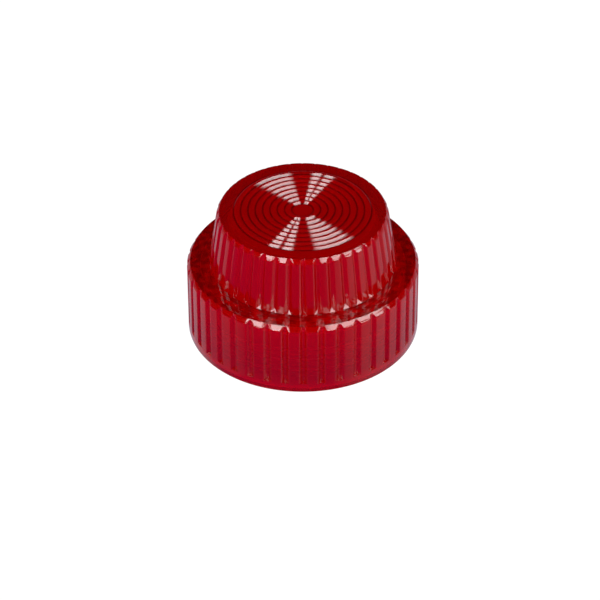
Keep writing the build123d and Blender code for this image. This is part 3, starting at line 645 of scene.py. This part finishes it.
# ---------------------------------------------------------------- table and light
# A plain white table, bright enough to lose its shadows, and three long curved strip lights: one starts
# low at the front right and two low at the front left, and all arch over the object. The table is kept
# out of the reflections, which see a dark room with paler walls at the sides and the far end.
white = linear("FFFFFF")
black = linear("000000")
dim_violet = linear("551973")
table_material = new_material("plain_white_table")
table_glow = add(table_material, "Emission", {"Color": white, "Strength": 1.05})
add(table_material, "OutputMaterial", {"Surface": (table_glow, 0)})
table_half = 3000.0
table_z = -0.05              # just under the base, so that the two faces do not coincide
table = mesh_piece("table_top", [(-table_half, -table_half, table_z), (table_half, -table_half, table_z),
                                 (table_half, table_half, table_z), (-table_half, table_half, table_z)],
                   [[0, 1, 2, 3]], table_material)
table.visible_glossy = False

camera_tilt = np.radians(37.05)
towards_camera = np.array([0, -np.cos(camera_tilt), np.sin(camera_tilt)])


def twice_mirrored(azimuth):
    """Tilts, in degrees, of light that the camera sees by way of both a cone land and the shoulder.

    Either order turns the camera ray v into r, and the tilt is that of the half vector r + v.
    """
    land = np.stack([np.cos(azimuth), np.sin(azimuth), np.full(azimuth.shape, cone_lean)], axis=-1)
    land /= np.linalg.norm(land, axis=-1, keepdims=True)
    flip = np.array([1, 1, -1])
    land_first = (2 * (land @ towards_camera)[..., None] * land - towards_camera) * flip
    from_shoulder = towards_camera * flip
    shoulder_first = 2 * (land @ from_shoulder)[..., None] * land - from_shoulder
    tilts = []
    for half in (land_first + towards_camera, shoulder_first + towards_camera):
        tilts.append(np.degrees(np.arctan2(np.hypot(half[..., 0], half[..., 1]), half[..., 2])))
    return tilts


flag_half = 0.9              # half a flag's width and its soft edge, in degrees of tilt
flag_edge = 0.4
chamfer_half = 1.0           # tilts kept lit on each side of a chamfer's own


def strip_light(name, azimuths, tilts, strength, soft_ends, distance=600.0):
    """A curved panel made of the mirror directions of the camera in tilted facets.

    A facet tilted t from the axis towards azimuth p has the normal h = (sin t cos p, sin t sin p,
    cos t) and sends the light from 2 (h . v) h - v to the camera direction v. The glow falls to a
    tenth over soft_ends degrees at the two ends of the azimuths. Two narrow flags mask it where it
    would be mirrored twice, except at the tilts of the two chamfers.
    """
    rows, columns = 150, 25
    p, t = np.meshgrid(np.linspace(*azimuths, columns), np.linspace(*tilts, rows))
    from_start, from_end = p - azimuths[0], azimuths[1] - p
    level = np.clip(np.minimum(from_start / soft_ends[0], from_end / soft_ends[1]), 0.1, 1)
    p = np.radians(p)
    flags = np.ones(t.shape)
    for twice in twice_mirrored(p):
        flags *= np.clip((np.abs(t - twice) - flag_half) / flag_edge, 0, 1)
    for down, inwards in ((cone_chamfer_down, cone_chamfer_in), (skirt_chamfer_down, skirt_chamfer_in)):
        flags[np.abs(t - np.degrees(np.arctan2(down, inwards))) < chamfer_half] = 1
    level *= flags
    t = np.radians(t)
    h = np.stack([np.sin(t) * np.cos(p), np.sin(t) * np.sin(p), np.cos(t)], axis=-1)
    light = 2 * (h @ towards_camera)[..., None] * h - towards_camera
    glow = new_material(name + "_diffuser")
    glow_level = add(glow, "Attribute", attribute_name="glow_level")
    lamp = add(glow, "Math", {0: (glow_level, "Fac"), 1: strength}, operation="MULTIPLY")
    shine = add(glow, "Emission", {"Color": white, "Strength": (lamp, 0)})
    add(glow, "OutputMaterial", {"Surface": (shine, 0)})
    panel = mesh_piece(name, light.reshape(-1, 3) * distance, grid_faces(rows, columns, wrap=False), glow)
    stored = panel.data.attributes.new("glow_level", "FLOAT", "POINT")
    stored.data.foreach_set("value", level.astype(np.float32).ravel())
    panel.visible_camera = False
    panel.visible_diffuse = False


strip_tilts = (10, 61.2)     # from the ring crests to just past the cone's chamfer
strip_light("strip_light_right", (-81, -42.5), strip_tilts, 7.0, (4, 6))
strip_light("strip_light_left_inner", (-119.5, -109.5), strip_tilts, 8.8, (1.5, 1.5))
strip_light("strip_light_left_outer", (-107.5, -97.5), strip_tilts, 8.8, (1.5, 3))

room = bpy.data.worlds.new("studio_room")
room.use_nodes = True
room.node_tree.nodes.clear()
direction = add(room, "SeparateXYZ", {0: (add(room, "TexCoord"), "Generated")})

# Levels that change between two places on an axis. The polished faces mirror pale walls right, left
# and far, seen only below the horizon, over a floor that is dim violet in front of the table and black
# straight down. Scattered and transmitted light comes from a fill, strongest low down and in front.
room_level = {}
for name, axis, start, end, start_level, end_level, curve in (
    ("right_wall", "X", 0.38, 0.95, 0.0, 0.5, "LINEAR"),
    ("left_wall", "X", -0.65, -0.85, 0.0, 0.25, "LINEAR"),
    ("low_down", "Z", -0.45, -0.55, 0.0, 1.0, "LINEAR"),
    ("far_wall", "Y", 0.0, 0.5, 0.0, 0.45, "SMOOTHSTEP"),
    ("below_horizon", "Z", -0.1, 0.1, 1.0, 0.0, "LINEAR"),
    ("not_straight_down", "Z", -0.9, -0.7, 0.0, 1.0, "LINEAR"),
    ("height_fill", "Z", 0.0, 0.9, 2.9, 0.34, "LINEAR"),
    ("front_fill", "Y", -1.0, 1.0, 1.35, 0.65, "LINEAR"),
):
    room_level[name] = add(room, "MapRange", {
        "Value": (direction, axis), "From Min": start, "From Max": end,
        "To Min": start_level, "To Max": end_level,
    }, interpolation_type=curve)
for name, operation, first, second in (
    ("low_left_wall", "MULTIPLY", "left_wall", "low_down"),
    ("side_walls", "MAXIMUM", "right_wall", "low_left_wall"),
    ("walls", "MAXIMUM", "side_walls", "far_wall"),
    ("walls_share", "MULTIPLY", "walls", "below_horizon"),
    ("violet_share", "MULTIPLY", "below_horizon", "not_straight_down"),
    ("soft_fill", "MULTIPLY", "height_fill", "front_fill"),
):
    room_level[name] = add(room, "Math", {
        0: (room_level[first], 0), 1: (room_level[second], 0),
    }, operation=operation)
violet_floor = add(room, "Mix", {
    0: (room_level["violet_share"], 0), 6: black, 7: dim_violet,
}, data_type="RGBA")
mirror_colour = add(room, "Mix", {
    0: (room_level["walls_share"], 0), 6: (violet_floor, 2), 7: white,
}, data_type="RGBA")
path = add(room, "LightPath")
mirror_ray = add(room, "Math", {
    0: (path, "Is Glossy Ray"), 1: (path, "Is Transmission Ray"),
}, operation="SUBTRACT", use_clamp=True)
seen_by_rays = add(room, "Mix", {
    0: (mirror_ray, 0), 6: (room_level["soft_fill"], 0), 7: (mirror_colour, 2),
}, data_type="RGBA")
backdrop = add(room, "Mix", {
    0: (path, "Is Camera Ray"), 6: (seen_by_rays, 2), 7: white,
}, data_type="RGBA")
air = add(room, "Background", {"Color": (backdrop, 2), "Strength": 1.0})
add(room, "OutputWorld", {"Surface": (air, 0)})
bpy.context.scene.world = room

# ---------------------------------------------------------------- camera
# A long lens, a little under half a metre away, looks down on the front of the strobe and leaves a wide
# white margin round it.
eye = np.array([-0.47, -352.7, 270.5])
roll = np.radians(0.308)     # the viewer holds the camera this far from level
forward = -towards_camera
right = np.array([1.0, 0.0, 0.0])
up = np.cross(right, forward)
turned_right = np.cos(roll) * right - np.sin(roll) * up
turned_up = np.cos(roll) * up + np.sin(roll) * right
camera_data = bpy.data.cameras.new("camera")
camera_data.sensor_width = 36.0
camera_data.lens = 169.3
camera_data.clip_start = 0.01
camera_data.clip_end = 20.0
camera = bpy.data.objects.new("camera", camera_data)
placing = Matrix.Identity(4)
for index, axis in enumerate((turned_right, turned_up, -forward, eye * MM)):
    for line in range(3):
        placing[line][index] = axis[line]
camera.matrix_world = placing
bpy.context.scene.collection.objects.link(camera)
bpy.context.scene.camera = camera
bpy.context.scene.view_settings.view_transform = "Standard"

bpy.context.view_layer.update()
